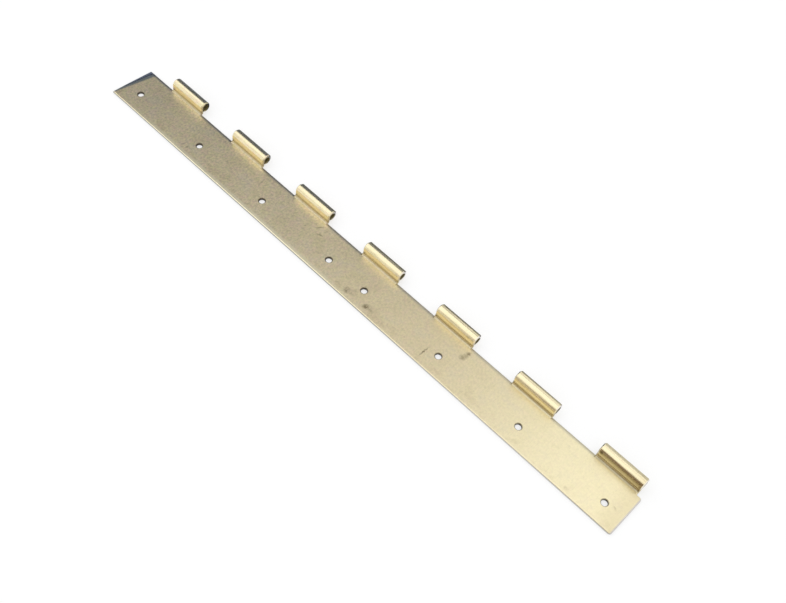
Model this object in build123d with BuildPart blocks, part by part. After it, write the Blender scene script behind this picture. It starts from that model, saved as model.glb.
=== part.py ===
from build123d import *
import os
from math import acos, asin, cos, degrees, radians, sin

os.makedirs("parts", exist_ok=True)

# One leaf of a continuous hinge for a landing gear door.
# A flat strip of steel carries seven knuckles, rolled from tongues of the same sheet.
# X runs along the leaf, Y across it towards the knuckles, Z up from the flat underside.

# Sheet and overall sizes
sheet = 1.2
leaf_length = 352.5
axis_from_front_edge = 29.0

# Knuckles: where the row starts, its pitch, and how much of each pitch is knuckle
knuckle_count = 7
knuckle_pitch = 50.8
knuckle_length = 25.1
far_margin = 19.6

# The roll: bore for the pin, height of the pin axis over the plate, bend out of the plate
bore_diameter = 3.7
axis_over_plate = 3.4
root_bend_radius = 1.3
seam_gap = 0.2

# Screw holes: a row of four towards each end, and the wider-set pair in the middle
hole_diameter = 3.3
hole_pitch = 50.8
hole_middle_pitch = 25.4
hole_from_front_edge = 10.2
holes_per_row = 4
holes_middle_from_far_end = 176.5

# Corners and edges
near_corner_radius = 1.4
far_corner_radius = 0.6
top_edge_round = 0.45
knuckle_rim_break = 0.5
hole_break = 0.25

# Blanking rolled the upper edge of the gaps down, in an arc tangent to the face
edge_roll_width = 1.2
edge_roll_drop = 0.3

# Past the last knuckle the plate is stepped back, with a small radius in the corner
near_step = 1.8
near_step_radius = 0.3

# The far end is ground off on a slant that widens towards the knuckles
slant_width = 3.0
slant_depth = 0.55

# Positions that follow, with the origin under the middle of the whole leaf
bore_radius = bore_diameter / 2
roll_radius = bore_radius + sheet
leaf_width = axis_from_front_edge - roll_radius
overall_width = axis_from_front_edge + roll_radius
x_far = -leaf_length / 2
x_near = leaf_length / 2
y_front = -overall_width / 2
y_notch = y_front + leaf_width
y_axis = y_front + axis_from_front_edge
z_axis = sheet + axis_over_plate
y_bend = y_notch - root_bend_radius
z_bend = sheet + root_bend_radius
knuckle_starts = [x_far + far_margin + i * knuckle_pitch for i in range(knuckle_count)]
x_step = knuckle_starts[-1] + knuckle_length
edge_roll_radius = (edge_roll_width**2 + edge_roll_drop**2) / (2 * edge_roll_drop)
edge_roll_sweep = degrees(asin(edge_roll_width / edge_roll_radius))

# The roll stops where its outer edge would touch the back of the rising wall
tail_angle = degrees(acos((bore_radius - seam_gap) / roll_radius))
roll_sweep = 360 - tail_angle
tail_direction = radians(180 - roll_sweep)
tail_inside = (y_axis + bore_radius * cos(tail_direction), z_axis + bore_radius * sin(tail_direction))
tail_outside = (y_axis + roll_radius * cos(tail_direction), z_axis + roll_radius * sin(tail_direction))

# One rolled knuckle: the sheet bends up out of the plate, rises as a wall,
# then turns over the bore and back underneath until it closes on the wall
with BuildPart() as knuckle:
    with BuildSketch(Plane.YZ):
        with BuildLine():
            CenterArc((y_bend, z_bend), root_bend_radius + sheet, -90, 90)
            Line((y_notch + sheet, z_bend), (y_notch + sheet, z_axis))
            CenterArc((y_axis, z_axis), bore_radius, 180, -roll_sweep)
            Line(tail_inside, tail_outside)
            CenterArc((y_axis, z_axis), roll_radius, 180 - roll_sweep, roll_sweep)
            Line((y_notch, z_axis), (y_notch, z_bend))
            CenterArc((y_bend, z_bend), root_bend_radius, 0, -90)
            Line((y_bend, sheet), (y_bend, 0))
        make_face()
    extrude(amount=knuckle_length)
    arcs = knuckle.edges().filter_by(GeomType.CIRCLE)
    chamfer(arcs.filter_by(lambda arc: arc.radius == roll_radius), knuckle_rim_break)

with BuildPart() as hinge_leaf:
    # Flat plate with rounded corners, stepped back past the last knuckle
    with BuildSketch() as blank:
        with Locations((0, y_front + leaf_width / 2)):
            Rectangle(leaf_length, leaf_width)
        with Locations((x_near, y_notch)):
            Rectangle(2 * (x_near - x_step), 2 * near_step, mode=Mode.SUBTRACT)
        corners = blank.vertices().sort_by(Axis.X)
        fillet(corners[4:], near_corner_radius)
        fillet(corners[2:4].sort_by(Axis.Y)[0], near_step_radius)
        fillet(corners[:2], far_corner_radius)
    extrude(amount=sheet)
    fillet(hinge_leaf.faces().sort_by(Axis.Z)[-1].edges(), top_edge_round)

    # Rolled-down edge along the knuckle side
    with BuildSketch(Plane.YZ.offset(x_far)):
        with BuildLine():
            roll_start = (y_notch - edge_roll_width, sheet)
            roll_end = (y_notch, sheet - edge_roll_drop)
            roll_centre = (y_notch - edge_roll_width, sheet - edge_roll_radius)
            CenterArc(roll_centre, edge_roll_radius, 90, -edge_roll_sweep)
            Polyline(roll_end, (y_notch + 1, sheet - edge_roll_drop), (y_notch + 1, sheet + 1),
                     (y_notch - edge_roll_width, sheet + 1), roll_start)
        make_face()
    extrude(amount=leaf_length, mode=Mode.SUBTRACT)

    # Screw holes, with the burr taken off their upper rims
    row_length = (holes_per_row - 1) * hole_pitch
    row_middle = (hole_middle_pitch + row_length) / 2
    x_holes = x_far + holes_middle_from_far_end
    y_holes = y_front + hole_from_front_edge
    with Locations((x_holes - row_middle, y_holes, sheet), (x_holes + row_middle, y_holes, sheet)):
        with GridLocations(hole_pitch, 1, holes_per_row, 1):
            CounterSinkHole(hole_diameter / 2, hole_diameter / 2 + hole_break, sheet)

    # Slanted grinding of the far end
    along_slant = Vector(slant_width, leaf_width, 0)
    down_the_end = Vector(0, leaf_width, -slant_depth)
    ground_face = Plane(origin=(x_far, y_front, sheet), z_dir=along_slant.cross(down_the_end))
    split(bisect_by=ground_face, keep=Keep.BOTTOM)

    # Where a tongue leaves the plate, the flat stops at the start of the bend
    with BuildSketch():
        with Locations(*[(x + knuckle_length / 2, y_notch) for x in knuckle_starts]):
            Rectangle(knuckle_length, 2 * root_bend_radius)
    extrude(amount=sheet, mode=Mode.SUBTRACT)
    with Locations(*[(x, 0, 0) for x in knuckle_starts]):
        add(knuckle.part)

hinge_leaf.part.label = "hinge_leaf"
export_step(hinge_leaf.part, "parts/hinge_leaf.step")
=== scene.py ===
from math import pi, radians

import bpy
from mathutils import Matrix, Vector


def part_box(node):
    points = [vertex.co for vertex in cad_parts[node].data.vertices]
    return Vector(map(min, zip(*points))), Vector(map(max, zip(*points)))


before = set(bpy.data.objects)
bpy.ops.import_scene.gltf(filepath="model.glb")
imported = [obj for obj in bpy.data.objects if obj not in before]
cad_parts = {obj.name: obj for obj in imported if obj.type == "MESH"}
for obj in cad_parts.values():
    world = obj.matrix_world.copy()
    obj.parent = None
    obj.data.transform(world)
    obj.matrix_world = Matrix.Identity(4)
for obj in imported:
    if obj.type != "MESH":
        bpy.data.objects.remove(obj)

scene = bpy.context.scene
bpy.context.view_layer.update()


# The hinge leaf is one steel sheet: a long plate with seven tongues rolled into knuckles.
# It is brushed across its width, the knuckles are burnished lengthwise by the rolling, and
# the whole of it is zinc plated and passivated yellow, duller and greyer on the cut edges.
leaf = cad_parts["hinge_leaf"]
leaf_low, leaf_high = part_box("hinge_leaf")

# Plate, in millimetres. X runs along the leaf to its near end, Y across it to the knuckles
per_metre = 1000.0
sheet = 1.2
plate_width = 25.95
far_end = leaf_low.x * per_metre
near_end = leaf_high.x * per_metre
front_edge = leaf_low.y * per_metre
notch_line = front_edge + plate_width

# Knuckles, and the pin axis that they are rolled round
knuckle_count = 7
knuckle_pitch = 50.8
knuckle_length = 25.1
half_knuckle = knuckle_length / 2
far_margin = 19.6
axis_from_front_edge = 29.0
axis_over_plate = 3.4
bore_radius = 1.85
first_knuckle = far_end + far_margin
last_knuckle = first_knuckle + (knuckle_count - 1) * knuckle_pitch
last_end = last_knuckle + knuckle_length

# Screw holes, at one pitch to both sides of a closer pair in the middle
hole_pitch = 50.8
hole_from_middle = 12.7
hole_radius = 1.65
holes_middle_from_far_end = 176.5
hole_from_front_edge = 10.2
holes_middle = far_end + holes_middle_from_far_end
hole_line = front_edge + hole_from_front_edge

# Slant ground off the far end, and how much the dull band beside it widens with each mm across
slant_width = 3.0
slant_depth = 0.55
run_out_spread = 0.16

# Middle of the fold at the root of a knuckle, and how much narrower than tall its painted shade lies
fold_before_notch = 0.3
fold_over_plate = 0.9
fold_flattening = 1.6

# Colours of the plating, of what has come onto it, and of the light and shade painted on it
plate_gold = (0.82, 0.71, 0.465, 1.0)
plate_gold_lit_near = (0.93, 0.84, 0.56, 1.0)
knuckle_gold = (0.90, 0.80, 0.53, 1.0)
highlight_gold = (1.0, 0.93, 0.68, 1.0)
olive_tint = (0.74, 0.70, 0.38, 1.0)
rose_tint = (0.86, 0.66, 0.52, 1.0)
bore_shade_olive = (0.22, 0.18, 0.07, 1.0)
cut_edge_grey_shaded = (0.34, 0.345, 0.34, 1.0)
cut_edge_grey_lit = (0.56, 0.55, 0.54, 1.0)
back_edge_shade_slate = (0.24, 0.25, 0.29, 1.0)
near_edge_grey = (0.56, 0.55, 0.60, 1.0)
knuckle_end_lit_gold = (0.60, 0.53, 0.36, 1.0)
knuckle_end_shaded_brown = (0.40, 0.33, 0.19, 1.0)
knuckle_end_shaded_dark = (0.10, 0.10, 0.07, 1.0)
knuckle_end_lit_pale = (0.80, 0.77, 0.77, 1.0)
knuckle_rim_highlight = (0.98, 0.93, 0.84, 1.0)
far_rim_shade_grey = (0.28, 0.27, 0.26, 1.0)
ground_steel = (0.72, 0.77, 0.82, 1.0)
ground_steel_dark = (0.36, 0.39, 0.42, 1.0)
run_out_grey = (0.22, 0.26, 0.27, 1.0)
hole_rim_shade = (0.10, 0.085, 0.06, 1.0)
hole_wall_shade = (0.05, 0.043, 0.035, 1.0)
smudge_and_shade_brown = (0.30, 0.25, 0.15, 1.0)
smudge_and_shade_dark = (0.18, 0.14, 0.08, 1.0)
stain_brown = (0.52, 0.42, 0.24, 1.0)
cool_grey = (0.74, 0.68, 0.52, 1.0)

# Gloss: the rolling burnishes the knuckles, handling the front edge, and the wheel the slant
plate_roughness = 0.40
knuckle_roughness = 0.23
front_edge_roughness = 0.28
slant_roughness = 0.22
bore_roughness = 0.6
bore_metallic = 0.2
relief_strength = 0.35
relief_height = 0.00001


def empty_material(name):
    """A material whose node tree is empty."""
    material = bpy.data.materials.new(name)
    material.use_nodes = True
    material.node_tree.nodes.clear()
    return material


def add_node(tree, kind, inputs, **settings):
    """Adds a shader node. An input given as a socket is linked, and any other is set."""
    made = tree.nodes.new(kind)
    for setting, value in settings.items():
        setattr(made, setting, value)
    for socket, value in inputs.items():
        if isinstance(value, bpy.types.NodeSocket):
            tree.links.new(value, made.inputs[socket])
        else:
            made.inputs[socket].default_value = value
    return made


plating = empty_material("yellow_passivated_plating")


def plating_node(kind, inputs, **settings):
    return add_node(plating.node_tree, kind, inputs, **settings)


def calculate(operation, first, *others):
    """A sum on numbers or sockets, taken from left to right. The third input is where WRAP starts."""
    for other in others or (0.0,):
        inputs = {0: first, 1: other, 2: 0.0}
        first = plating_node("ShaderNodeMath", inputs, operation=operation).outputs[0]
    return first


def multiply(*values):
    return calculate("MULTIPLY", *values)


def all_but(share):
    return calculate("SUBTRACT", 1.0, share)


def swing(pattern, amount):
    """How far a pattern stands off its middle value, times amount."""
    middle_value = 0.5
    return multiply(calculate("SUBTRACT", pattern, middle_value), amount)


def distance_of(first, second):
    """The distance that two offsets at right angles make together."""
    squares = calculate("ADD", calculate("POWER", first, 2.0), calculate("POWER", second, 2.0))
    return calculate("SQRT", squares)


def calculate_vector(operation, first, second, third=(0.0, 0.0, 0.0)):
    """A sum on vectors, which gives a number where it is a distance or a dot product."""
    made = plating_node("ShaderNodeVectorMath", {0: first, 1: second, 2: third}, operation=operation)
    return made.outputs["Value" if operation in ("DISTANCE", "DOT_PRODUCT") else "Vector"]


def fade(value, low, high):
    """Rises smoothly from 0 at low to 1 at high, and falls where low is the larger."""
    if low > high:
        return all_but(fade(value, high, low))
    inputs = {"Value": value, "From Min": low, "From Max": high}
    return plating_node("ShaderNodeMapRange", inputs, interpolation_type="SMOOTHSTEP").outputs[0]


def mix_colour(share, first, second):
    """The first colour where share is 0, the second where it is 1. They go to sockets 6 and 7."""
    inputs = {"Factor": share, 6: first, 7: second}
    return plating_node("ShaderNodeMix", inputs, data_type="RGBA").outputs[2]


def mix_number(share, first, second):
    """The first number where share is 0, the second where it is 1. They go to sockets 2 and 3."""
    inputs = {"Factor": share, 2: first, 3: second}
    return plating_node("ShaderNodeMix", inputs, data_type="FLOAT").outputs[0]


def lay_over(colour, layers):
    """Lays colours over the one given. A layer says where it is, how strong, and its colour."""
    for where, strength, layer_colour in layers:
        share = where if strength == 1.0 else multiply(where, strength)
        colour = mix_colour(share, colour, layer_colour)
    return colour


def noise(per_mm, detail, roughness):
    """Noise with its own number of features to the millimetre along X, Y and Z."""
    spread = plating_node("ShaderNodeMapping", {"Vector": place, "Scale": per_mm}).outputs[0]
    inputs = {"Vector": spread, "Scale": 1.0, "Detail": detail, "Roughness": roughness}
    return plating_node("ShaderNodeTexNoise", inputs).outputs[0]


metres = plating_node("ShaderNodeTexCoord", {}).outputs["Object"]
place = plating_node("ShaderNodeMapping", {"Vector": metres, "Scale": (per_metre,) * 3}).outputs[0]
x, y, z = plating_node("ShaderNodeSeparateXYZ", {"Vector": place}).outputs

# Where the sheet is plate, where it has bent up into a knuckle, and where it is past the bend
rolled = fade(z, sheet + 0.1, sheet + 1.6)
on_plate = all_but(rolled)
past_bend = fade(z, sheet + 0.8, sheet + 1.8)

# Places along the pitch of the knuckles and from the pin axis
along_pitch = calculate("WRAP", calculate("SUBTRACT", x, first_knuckle), knuckle_pitch)
from_knuckle_middle = calculate("ABSOLUTE", calculate("SUBTRACT", along_pitch, half_knuckle))
from_axis_y = calculate("SUBTRACT", y, front_edge + axis_from_front_edge)
from_axis_z = calculate("SUBTRACT", z, sheet + axis_over_plate)

# Edges of the plate: its grey cut sides, painted darker towards the far end as shade, the back edge
# between the knuckles painted slate as a dark reflection, the front edge rubbed smooth with a painted
# highlight and a painted lighter strip beside its far half, and the near end
on_plate_side = multiply(
    fade(z, 0.02, 0.06),
    fade(z, 0.95, 0.85),
    fade(y, notch_line + 0.06, notch_line + 0.02),
)
on_back_edge = multiply(
    fade(y, notch_line - 2.2, notch_line - 0.8),
    fade(z, sheet + 0.1, sheet),
    fade(from_knuckle_middle, half_knuckle - 0.4, half_knuckle + 0.6),
)
on_front_edge = fade(y, front_edge + 0.7, front_edge + 0.3)
beside_front_edge = multiply(
    fade(x, -170.0, -125.0),
    fade(x, 45.0, -40.0),
    fade(y, front_edge + 2.6, front_edge + 1.3),
)
on_near_edge = fade(x, near_end - 1.0, near_end - 0.3)
by_near_end = fade(x, near_end - 14.0, near_end - 2.0)

# Both ends of each knuckle, the rims round them, painted lighter on the nearer knuckles as a highlight
# and darker at the far ends as shade, and the inside of the roll
on_knuckle_end = multiply(
    fade(from_knuckle_middle, half_knuckle - 0.08, half_knuckle - 0.03),
    fade(z, sheet + 0.05, sheet + 0.25),
)
on_knuckle_rim = multiply(
    fade(from_knuckle_middle, half_knuckle - 0.55, half_knuckle - 0.35),
    fade(z, sheet + 2.0, sheet + 3.0),
)
on_far_rim = multiply(fade(along_pitch, 0.4, 0.1), past_bend)
from_axis = distance_of(from_axis_y, from_axis_z)
# The inside of the roll is painted dark olive as shade, and made rougher and less metallic
in_bore = multiply(fade(from_axis, bore_radius + 0.15, bore_radius + 0.05), all_but(on_knuckle_end))

# Walls and rims of the screw holes, measured from the nearest of them, painted dark as shade
from_middle = calculate("ABSOLUTE", calculate("SUBTRACT", x, holes_middle))
past_first_hole = calculate("SUBTRACT", from_middle, hole_from_middle)
pitches = calculate("ROUND", calculate("DIVIDE", past_first_hole, hole_pitch))
from_hole_x = calculate("SUBTRACT", past_first_hole, multiply(pitches, hole_pitch))
from_hole_y = calculate("SUBTRACT", y, hole_line)
from_hole = distance_of(from_hole_x, from_hole_y)
in_hole = fade(from_hole, hole_radius + 0.06, hole_radius + 0.02)
on_hole_rim = fade(from_hole, hole_radius + 0.6, hole_radius + 0.2)

# The slanted grinding of the far end: how far a point stands off the ground plane
across_slant = Vector((slant_width, plate_width, 0.0))
down_slant = Vector((0.0, plate_width, -slant_depth))
out_of_slant = across_slant.cross(down_slant).normalized()
if out_of_slant.z < 0.0:
    out_of_slant.negate()
slant_start = Vector((far_end, front_edge, sheet)).dot(out_of_slant)
along_normal = calculate_vector("DOT_PRODUCT", place, out_of_slant)
off_slant = calculate("ABSOLUTE", calculate("SUBTRACT", along_normal, slant_start))
on_slant = multiply(fade(off_slant, 0.03, 0.02), fade(z, sheet - 0.001, sheet - 0.03))

# The grinding runs out onto the face in a dull band, from 0.8 mm wide in front to 5 at the back
run_out_width = multiply(calculate("SUBTRACT", y, front_edge), run_out_spread)
past_run_out = calculate("SUBTRACT", x, far_end, run_out_width)
on_run_out = multiply(fade(past_run_out, 1.5, 0.2), fade(z, sheet - 0.5, sheet - 0.1))

# The last knuckle is painted darker brown as a dark reflection along its front, over the top of the
# wall, and as shade at its foot
along_last = multiply(fade(x, last_knuckle - 0.3, last_knuckle + 1.5), fade(x, last_end, last_end - 2.5))
on_last_front = multiply(
    fade(z, sheet + 2.2, sheet + 3.2),
    fade(z, sheet + 5.1, sheet + 4.2),
    fade(from_axis_y, 0.0, -1.0),
)
at_last_foot = multiply(
    fade(y, notch_line - 1.9, notch_line - 0.8),
    fade(z, sheet + 0.8, sheet + 0.3),
)
last_knuckle_shade = multiply(calculate("MAXIMUM", on_last_front, at_last_foot), along_last)

# The fold at the root of each knuckle, painted darker brown as shade in the crease
from_fold_y = calculate("SUBTRACT", y, notch_line - fold_before_notch)
from_fold_z = calculate("SUBTRACT", z, sheet + fold_over_plate)
from_fold = distance_of(multiply(from_fold_y, fold_flattening), from_fold_z)
fold_shade = multiply(
    fade(from_fold, 2.6, 0.6),
    fade(from_knuckle_middle, half_knuckle + 0.3, half_knuckle - 0.2),
    mix_number(along_last, 1.0, 0.45),
)

# Dark specks by both ends of the last knuckle, the lowest one painted shade at the foot of its near end:
# middle, radius and strength
specks = [
    ((last_knuckle + 1.7, notch_line + 0.3, sheet + 4.2), 1.3, 0.8),
    ((last_end - 1.0, notch_line, sheet + 3.1), 1.2, 0.9),
    ((last_end - 0.6, notch_line - 0.5, sheet + 0.8), 1.0, 0.9),
]
specked = 0.0
for middle, radius, strength in specks:
    from_speck = calculate_vector("DISTANCE", place, middle)
    speck = multiply(fade(from_speck, radius, 0.3 * radius), strength)
    specked = calculate("MAXIMUM", specked, speck)

# Brushing across the plate, burnished lines along the knuckles, and fine tooth everywhere
brushed = noise(per_mm=(3.2, 0.22, 0.22), detail=3.0, roughness=0.6)
drawn = noise(per_mm=(0.06, 3.5, 3.5), detail=2.0, roughness=0.5)
tooth = noise(per_mm=(1.6, 1.3, 1.6), detail=2.0, roughness=0.6)
lines = mix_number(rolled, brushed, drawn)

# Slow changes of tint from the passivation bath, its grain, and the stains that came later
mottle = noise(per_mm=(0.40, 0.40, 0.40), detail=3.0, roughness=0.7)
cloud = noise(per_mm=(0.035, 0.06, 0.06), detail=2.0, roughness=0.5)
speckle = noise(per_mm=(0.85, 0.7, 0.85), detail=3.0, roughness=0.7)
stain = noise(per_mm=(0.10, 0.14, 0.14), detail=4.0, roughness=0.7)

# Brown streaks along the front of each knuckle, drawn out by the rolling
streaks = noise(per_mm=(0.13, 1.7, 1.7), detail=3.0, roughness=0.7)
streaked = multiply(fade(streaks, 0.48, 0.64), fade(from_axis_y, -1.0, -2.2), past_bend)

# Marks left on the plate: middle, half length along and across, turn in degrees and strength
marks = [
    ((-120.7, -11.6), (1.0, 2.0), -8.0, 1.0),
    ((-117.6, -11.6), (0.9, 1.6), 5.0, 0.8),
    ((-129.0, -13.0), (1.6, 1.2), 0.0, 0.5),
    ((7.2, -11.8), (3.0, 2.6), -10.0, 1.0),
    ((9.5, -11.0), (4.0, 3.0), 0.0, 0.5),
    ((20.4, -12.0), (3.0, 2.8), -15.0, 1.0),
    ((22.8, -11.6), (4.2, 3.0), -10.0, 0.5),
    ((72.0, 2.2), (2.8, 2.6), 60.0, 0.6),
    ((72.6, 4.2), (2.0, 4.2), -10.0, 0.5),
    ((72.9, 6.0), (2.2, 1.8), 60.0, 0.8),
    ((57.2, -9.3), (0.7, 4.8), -2.0, 1.0),
    ((149.3, -13.5), (2.4, 1.6), 0.0, 0.4),
    ((170.2, -4.7), (0.8, 2.2), 60.0, 0.35),
    ((-30.0, 5.5), (0.8, 4.8), -42.0, 0.6),
    ((-27.0, 1.6), (0.7, 3.2), -75.0, 0.6),
    ((-26.6, 6.0), (2.6, 2.0), 0.0, 0.4),
    ((-36.5, 0.4), (0.6, 3.4), -30.0, 0.4),
    ((-20.0, -7.5), (0.7, 5.0), -60.0, 0.45),
    ((-73.0, 2.2), (0.6, 4.2), 12.0, 0.5),
]

# Their outlines wander by up to half of wobble_width, so that none is a plain ellipse
wobble_width = 0.9
wobbles_per_mm = 0.9
wobble = plating_node("ShaderNodeTexNoise", {"Vector": place, "Scale": wobbles_per_mm, "Detail": 2.0})
offset = calculate_vector("SUBTRACT", wobble.outputs["Color"], (0.5, 0.5, 0.5))
wobbled_place = calculate_vector("MULTIPLY_ADD", offset, (wobble_width, wobble_width, 0.0), place)
any_mark = 0.0
for (along, across), (half_along, half_across), turn, strength in marks:
    inside = plating_node(
        "ShaderNodeMapping",
        {
            "Vector": wobbled_place,
            "Location": (along, across, sheet),
            "Rotation": (0.0, 0.0, radians(turn)),
            "Scale": (half_along, half_across, 1.0),
        },
        vector_type="TEXTURE",
    ).outputs[0]
    blot = plating_node("ShaderNodeTexGradient", {"Vector": inside}, gradient_type="SPHERICAL")
    any_mark = calculate("MAXIMUM", any_mark, multiply(fade(blot.outputs[1], 0.0, 0.9), strength))
marked = multiply(any_mark, mix_number(fade(mottle, 0.42, 0.58), 0.35, 1.0))

# The plating's own colour, painted lighter towards the near end as reflected lamp light, its tints, the
# brown stains and cooler patches, and the streaks
to_near_end = fade(x, -110.0, 150.0)
tint_strength = mix_number(to_near_end, 0.5, 0.10)
stained_share = mix_number(fade(x, -60.0, 200.0), 1.0, 0.35)
by_front_edge = mix_number(fade(y, front_edge + 9.0, front_edge + 1.0), 0.15, 0.40)
gold_lit_to_near_end = mix_colour(fade(x, 50.0, 150.0), plate_gold, plate_gold_lit_near)
bath_gold = lay_over(gold_lit_to_near_end, [
    (rolled, 1.0, knuckle_gold),
    (fade(mottle, 0.50, 0.65), tint_strength, olive_tint),
    (fade(mottle, 0.50, 0.35), tint_strength, rose_tint),
    (fade(brushed, 0.55, 0.72), 0.08, smudge_and_shade_brown),
    (multiply(fade(stain, 0.50, 0.66), by_front_edge, stained_share), on_plate, stain_brown),
    (multiply(fade(stain, 0.50, 0.34), stained_share, 0.35), on_plate, cool_grey),
    (streaked, 0.26, smudge_and_shade_brown),
])

# The grain of the plating, coarser towards the far end and polished away on the knuckles
coarseness = multiply(mix_number(to_near_end, 1.15, 0.25), mix_number(rolled, 1.0, 0.2))
grain = calculate("ADD", swing(speckle, coarseness), 1.0)
grained = plating_node("ShaderNodeVectorMath", {0: bath_gold, "Scale": grain}, operation="SCALE")

# Colours and strengths that change along the leaf, across a knuckle's end or down the slant, those of
# the edges, rims and knuckle ends painted lighter or darker as light and shade
in_near_half = fade(x, 0.0, 100.0)
back_edge_strength = mix_number(fade(x, -150.0, 120.0), 0.55, 0.30)
knuckle_rim_strength = mix_number(fade(x, -70.0, 60.0), 0.0, 0.85)
hole_rim_strength = mix_number(in_near_half, 0.9, 0.6)
side_grey_shaded_to_lit = mix_colour(in_near_half, cut_edge_grey_shaded, cut_edge_grey_lit)
end_before = mix_colour(fade(x, -60.0, 60.0), knuckle_end_shaded_brown, knuckle_end_lit_gold)
end_behind = mix_colour(fade(x, -130.0, 60.0), knuckle_end_shaded_dark, knuckle_end_lit_pale)
end_lit_and_shaded = mix_colour(fade(from_axis_y, -1.0, 1.5), end_before, end_behind)
slant_colour = mix_colour(fade(z, sheet, sheet - 0.35), ground_steel_dark, ground_steel)

# What has come onto the plating, the edges where it is thin or worn, and the light and shade painted on
# the folds, the last knuckle, the edges, the knuckle ends and rims, the bore and the holes
gold = lay_over(grained.outputs[0], [
    (fold_shade, 0.45, smudge_and_shade_brown),
    (last_knuckle_shade, 0.62, smudge_and_shade_brown),
    (specked, 1.0, smudge_and_shade_dark),
    (marked, 0.85, smudge_and_shade_dark),
    (on_run_out, 0.9, run_out_grey),
    (on_back_edge, back_edge_strength, back_edge_shade_slate),
    (beside_front_edge, 0.6, highlight_gold),
    (on_front_edge, 0.35, highlight_gold),
    (by_near_end, 0.22, stain_brown),
    (on_near_edge, 0.7, near_edge_grey),
    (on_plate_side, 1.0, side_grey_shaded_to_lit),
    (on_knuckle_rim, knuckle_rim_strength, knuckle_rim_highlight),
    (on_far_rim, 0.65, far_rim_shade_grey),
    (on_knuckle_end, 1.0, end_lit_and_shaded),
    (in_bore, 1.0, bore_shade_olive),
    (on_slant, 1.0, slant_colour),
    (on_hole_rim, hole_rim_strength, hole_rim_shade),
    (in_hole, 1.0, hole_wall_shade),
])

# Gloss, which the clouds, the lines and the marks break up
rough = calculate(
    "ADD",
    mix_number(rolled, plate_roughness, knuckle_roughness),
    swing(cloud, 0.10),
    swing(lines, 0.12),
    multiply(marked, 0.15),
)
rough = mix_number(on_front_edge, rough, front_edge_roughness)
rough = mix_number(on_slant, rough, slant_roughness)
rough = mix_number(in_bore, rough, bore_roughness)
metallic = mix_number(in_bore, 1.0, bore_metallic)

# Relief of the tooth and the lines, which the rolling has all but flattened on the knuckles
relief = calculate("ADD", multiply(lines, 0.7), multiply(tooth, 2.0))
relief = multiply(relief, mix_number(rolled, 1.0, 0.05))
bump = plating_node(
    "ShaderNodeBump",
    {"Height": relief, "Strength": relief_strength, "Distance": relief_height},
)
surface = plating_node(
    "ShaderNodeBsdfPrincipled",
    {"Base Color": gold, "Metallic": metallic, "Roughness": rough, "Normal": bump.outputs[0]},
)
plating_node("ShaderNodeOutputMaterial", {"Surface": surface.outputs[0]})

leaf.data.materials.clear()
leaf.data.materials.append(plating)


# The floor is a sheet of matt white paper that the leaf lies on, large enough to fill the view
# from any side. The camera and the metal see it mixed with plain white, as an evenly lit
# backdrop, and it keeps the leaf's shadow.
floor_half = 4.0
floor_drop = 0.0001
paper_white = (0.95, 0.95, 0.95, 1.0)
backdrop_white = (1.0, 1.0, 1.0, 1.0)
backdrop_share = 0.6


def add_panel(name, corners, material):
    """A flat panel of the studio, with its corners in metres."""
    mesh = bpy.data.meshes.new(name)
    mesh.from_pydata(corners, [], [tuple(range(len(corners)))])
    mesh.materials.append(material)
    panel = bpy.data.objects.new(name, mesh)
    scene.collection.objects.link(panel)
    return panel


paper = empty_material("matt_white_paper")


def paper_node(kind, inputs, **settings):
    return add_node(paper.node_tree, kind, inputs, **settings).outputs


matt = paper_node("ShaderNodeBsdfDiffuse", {"Color": paper_white})[0]
white = paper_node("ShaderNodeEmission", {"Color": backdrop_white, "Strength": 1.0})[0]
ray = paper_node("ShaderNodeLightPath", {})
seen = ray["Is Camera Ray"]
for kind_of_ray in ("Is Glossy Ray", "Is Transmission Ray"):
    seen = paper_node("ShaderNodeMath", {0: seen, 1: ray[kind_of_ray]}, operation="MAXIMUM")[0]
lift = paper_node("ShaderNodeMath", {0: seen, 1: backdrop_share}, operation="MULTIPLY")[0]
paper_surface = paper_node("ShaderNodeMixShader", {"Fac": lift, 1: matt, 2: white})[0]
paper_node("ShaderNodeOutputMaterial", {"Surface": paper_surface})

floor_sides = [(-floor_half, -floor_half), (floor_half, -floor_half),
               (floor_half, floor_half), (-floor_half, floor_half)]
add_panel("floor", [(along, across, -floor_drop) for along, across in floor_sides], paper)


# The room is plain white all round, and lights the leaf evenly.
# Its strength of 1 leaves a colour about as it is written.
world = bpy.data.worlds.new("white_room")
world.use_nodes = True
room = world.node_tree.nodes["Background"].inputs
room["Color"].default_value = (1.0, 1.0, 1.0, 1.0)
room["Strength"].default_value = 1.0
scene.world = world


# Two soft lamps hang over the leaf, a wide one above it and a small one behind its near end.
# They add a little light to the side of the metal that faces them.
def add_softbox(name, position, width, depth, radiance):
    """A soft rectangular lamp facing the middle of the leaf, as bright as radiance times white."""
    data = bpy.data.lights.new(name, "AREA")
    data.shape = "RECTANGLE"
    data.size = width
    data.size_y = depth
    data.energy = radiance * pi * width * depth
    lamp = bpy.data.objects.new(name, data)
    lamp.location = position
    lamp.rotation_mode = "QUATERNION"
    lamp.rotation_quaternion = (-Vector(position)).to_track_quat("-Z", "Y")
    lamp.visible_camera = False
    scene.collection.objects.link(lamp)


add_softbox("top_lamp", position=(-0.4, -0.2, 1.2), width=1.7, depth=1.2, radiance=0.25)
add_softbox("near_lamp", position=(0.42, 0.7, 1.2), width=0.6, depth=0.5, radiance=0.6)


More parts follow.
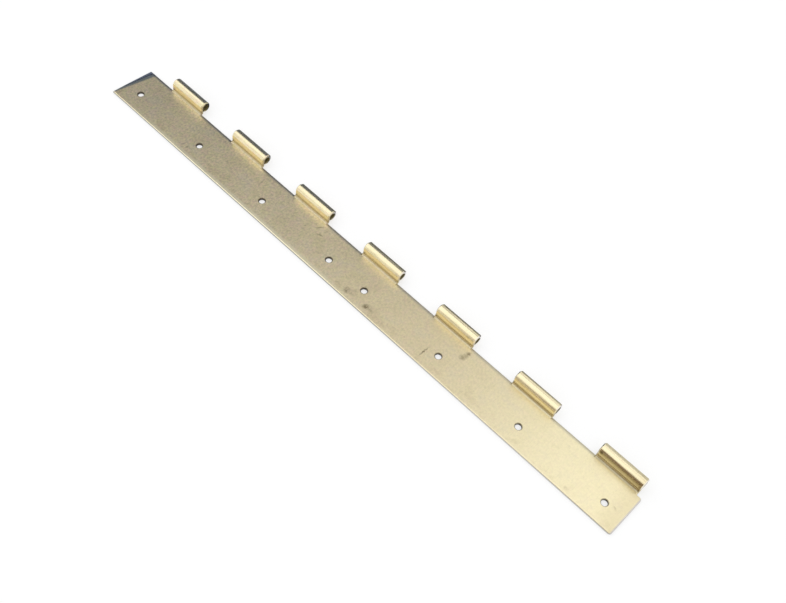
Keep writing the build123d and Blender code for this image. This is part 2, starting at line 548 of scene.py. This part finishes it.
# Felt cards stand behind and in front of the leaf and lie beside it, for the metal to reflect.
# Only shiny metal sees them: the camera doesn't, and they cast no shadow and tint no floor.
def add_card(name, corners, grading):
    """A card with its corners in metres. Its colour grades along X through the colours in
    grading, each given with its place."""
    felt = empty_material(name)
    tree = felt.node_tree
    coordinates = add_node(tree, "ShaderNodeTexCoord", {}).outputs["Object"]
    along_card = add_node(tree, "ShaderNodeSeparateXYZ", {"Vector": coordinates}).outputs["X"]
    first, last = grading[0][0], grading[-1][0]
    inputs = {"Value": along_card, "From Min": first, "From Max": last}
    share = add_node(tree, "ShaderNodeMapRange", inputs).outputs[0]
    ramp = add_node(tree, "ShaderNodeValToRGB", {"Fac": share})
    stops = ramp.color_ramp.elements
    for stop_place, colour in grading[1:-1]:
        stops.new((stop_place - first) / (last - first))
    for stop, (stop_place, colour) in zip(stops, grading):
        stop.color = (*colour, 1.0)
    felt_surface = add_node(tree, "ShaderNodeBsdfDiffuse", {"Color": ramp.outputs[0]}).outputs[0]
    add_node(tree, "ShaderNodeOutputMaterial", {"Surface": felt_surface})
    card = add_panel(name, corners, felt)
    card.visible_camera = False
    card.visible_diffuse = False
    card.visible_shadow = False


def standing(across, outline):
    """An outline in X and Z stood up on the line Y = across."""
    return [(along, across, up) for along, up in outline]


def lying(outline):
    """An outline in X and Y laid just over the floor."""
    card_lift = 0.0003
    return [(along, across, card_lift) for along, across in outline]


# Lines in metres that the cards stand on, and those beside the leaf where the lying ones start
behind = 0.6
in_front = -0.6
leaf_back = 0.017
leaf_back_near = 0.023
leaf_front = -0.018

blue_grey = (0.11, 0.125, 0.17)
sky_grey = (0.24, 0.28, 0.38)
slate = (0.26, 0.27, 0.28)
dark_grey = (0.10, 0.10, 0.10)
middle_grey = (0.40, 0.40, 0.40)
pale_grey = (0.60, 0.60, 0.60)
light_grey = (0.75, 0.75, 0.75)
warm_white = (0.95, 0.95, 0.92)
warm_grey = (0.70, 0.66, 0.60)
pale_brown = (0.55, 0.48, 0.40)
soft_white = (0.92, 0.92, 0.90)
olive_grey = (0.70, 0.68, 0.62)
sand = (0.6, 0.55, 0.5)
brown = (0.20, 0.14, 0.09)

back_outline = [
    (-2.4, 0.0), (0.7, 0.0), (0.7, 0.75), (0.08, 0.75), (0.05, 0.28), (-0.14, 0.3), (-0.26, 0.62),
    (-0.42, 1.0), (-1.1, 1.75), (-2.4, 3.3),
]
back_grading = [(-0.3, blue_grey), (-0.1, slate), (0.1, pale_grey), (0.2, pale_grey)]
add_card("back_card", standing(behind, back_outline), back_grading)

hanging_outline = [(-0.42, 0.95), (-0.33, 0.75), (-0.12, 0.75), (-0.12, 1.35), (-0.8, 1.35)]
hanging_grading = [(-0.8, slate), (-0.12, middle_grey)]
add_card("hanging_card", standing(behind, hanging_outline), hanging_grading)

# The lying cards are painted shade on the floor beside the leaf, seen only in the metal's reflection
back_floor_outline = [
    (-2.4, leaf_back), (-0.09, leaf_back), (-0.04, leaf_back_near), (0.5, leaf_back_near),
    (0.5, behind), (-2.4, behind),
]
back_floor_grading = [(-0.2, sky_grey), (0.0, dark_grey), (0.08, dark_grey), (0.19, light_grey)]
add_card("back_floor_card", lying(back_floor_outline), back_floor_grading)

front_outline = [(-0.35, 0.0), (0.7, 0.0), (0.7, 0.45), (0.12, 0.45), (0.05, 0.4), (-0.35, 0.35)]
front_grading = [(-0.35, warm_white), (-0.1, warm_grey), (0.0, pale_brown), (0.1, brown)]
add_card("front_card", standing(in_front, front_outline), front_grading)

front_floor_outline = [(-0.35, leaf_front), (0.7, leaf_front), (0.7, in_front), (-0.35, in_front)]
front_floor_grading = [(-0.15, soft_white), (0.05, olive_grey), (0.11, sand), (0.16, brown)]
add_card("front_floor_card", lying(front_floor_outline), front_floor_grading)


# The camera stands in front of the near end, 0.39 m over the floor, and looks down along the
# leaf over its front edge, as in the photograph.
camera_data = bpy.data.cameras.new("camera")
camera_data.sensor_width = 36.0
camera_data.lens = 44.48
camera_data.clip_start = 0.01
camera_data.clip_end = 20.0
camera = bpy.data.objects.new("camera", camera_data)
camera.location = (0.18789, -0.22666, 0.39194)
camera.rotation_euler = (radians(34.944), radians(-6.435), radians(44.429))
scene.collection.objects.link(camera)
scene.camera = camera
scene.view_settings.view_transform = "Standard"
